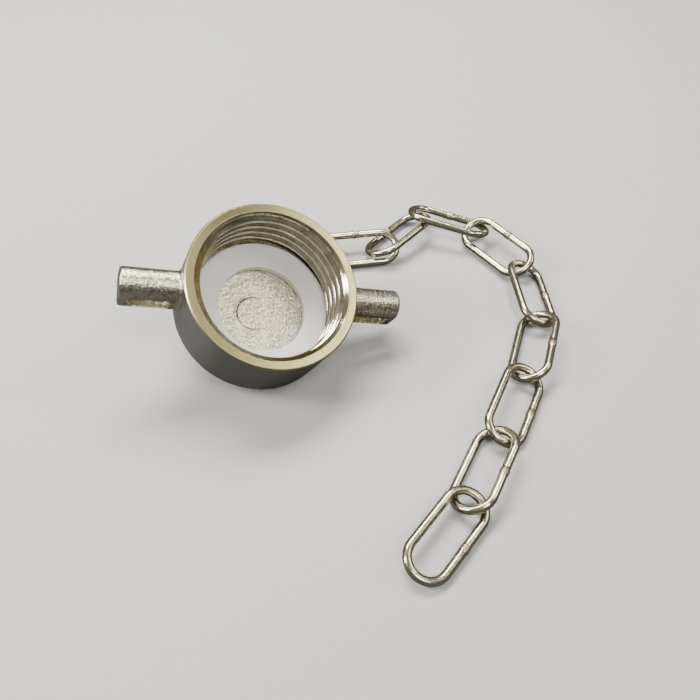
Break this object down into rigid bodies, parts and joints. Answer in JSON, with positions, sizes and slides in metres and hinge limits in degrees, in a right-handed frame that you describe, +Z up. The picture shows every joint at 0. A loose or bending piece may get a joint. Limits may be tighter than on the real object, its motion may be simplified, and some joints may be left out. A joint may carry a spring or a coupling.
{
  "type": "deck fill cap",
  "caption": "Threaded stainless filler cap with two slotted turning lugs, a captive white gasket and a long-link retaining chain on an eye under its closed end.",
  "frame": {"origin": "centre of the whole object's footprint, on the surface that it lies on", "axes": "+Z up from the table, +Y away from a viewer who has the cap on the left and the chain on the right"},
  "size_m": [0.159, 0.1714, 0.053],
  "materials": {
    "cast_stainless": "as-cast, bead-blasted lugs; turned and satin outer wall, rim and thread",
    "white_plastic": "smooth white plastic, slightly waxy",
    "wire_stainless": "drawn and tumbled bright wire with a small butt weld"
  },
  "bodies": {
    "cap": {"cap_body": "cast_stainless", "gasket": "white_plastic"},
    "link_01": {"link_01": "wire_stainless"},
    "link_02": {"link_02": "wire_stainless"},
    "link_03": {"link_03": "wire_stainless"},
    "link_04": {"link_04": "wire_stainless"},
    "link_05": {"link_05": "wire_stainless"},
    "link_06": {"link_06": "wire_stainless"},
    "link_07": {"link_07": "wire_stainless"},
    "link_08": {"link_08": "wire_stainless"},
    "link_09": {"link_09": "wire_stainless"},
    "link_10": {"link_10": "wire_stainless"},
    "link_11": {"link_11": "wire_stainless"}
  },
  "joints": [
    {"name": "link_01_swing", "type": "hinge", "parent": "cap", "child": "link_01", "pos_m": [-0.03968, 0.01484, 0.00827], "axis": [0.9271, 0.2112, -0.3097], "range_deg": [-90, 20]},
    {"name": "link_02_slide_round", "type": "hinge", "parent": "link_01", "child": "link_02", "pos_m": [-0.03381, 0.03953, 0.0049], "axis": [0.5078, -0.0142, 0.8613], "range_deg": [-10, 45]},
    {"name": "link_03_slide_round", "type": "hinge", "parent": "link_02", "child": "link_03", "pos_m": [-0.01421, 0.05544, 0.00433], "axis": [-0.191, 0.3591, 0.9135], "range_deg": [-15, 45]},
    {"name": "link_04_slide_round", "type": "hinge", "parent": "link_03", "child": "link_04", "pos_m": [0.01083, 0.06032, 0.00469], "axis": [0.0586, -0.37, 0.9272], "range_deg": [-20, 5]},
    {"name": "link_05_slide_round", "type": "hinge", "parent": "link_04", "child": "link_05", "pos_m": [0.02533, 0.07627, 0.00471], "axis": [-0.2949, 0.2563, 0.9205], "range_deg": [-5, 45]},
    {"name": "link_06_slide_round", "type": "hinge", "parent": "link_05", "child": "link_06", "pos_m": [0.05002, 0.07156, 0.00652], "axis": [0.1849, 0.2992, 0.9361], "range_deg": [-25, 45]},
    {"name": "link_07_slide_round", "type": "hinge", "parent": "link_06", "child": "link_07", "pos_m": [0.0665, 0.05288, 0.00553], "axis": [-0.3307, -0.2631, 0.9063], "range_deg": [-45, 45]},
    {"name": "link_08_slide_round", "type": "hinge", "parent": "link_07", "child": "link_08", "pos_m": [0.07187, 0.02435, 0.00447], "axis": [0.3892, 0.0341, 0.9205], "range_deg": [0, 45]},
    {"name": "link_09_slide_round", "type": "hinge", "parent": "link_08", "child": "link_09", "pos_m": [0.06443, -0.0032, 0.00465], "axis": [-0.4169, 0.1355, 0.8988], "range_deg": [-45, 45]},
    {"name": "link_10_slide_round", "type": "hinge", "parent": "link_09", "child": "link_10", "pos_m": [0.0523, -0.02975, 0.00421], "axis": [0.3541, -0.1651, 0.9205], "range_deg": [-45, 45]},
    {"name": "link_11_slide_round", "type": "hinge", "parent": "link_10", "child": "link_11", "pos_m": [0.03849, -0.0556, 0.00405], "axis": [-0.3481, 0.1774, 0.9205], "range_deg": [-45, 45]}
  ]
}
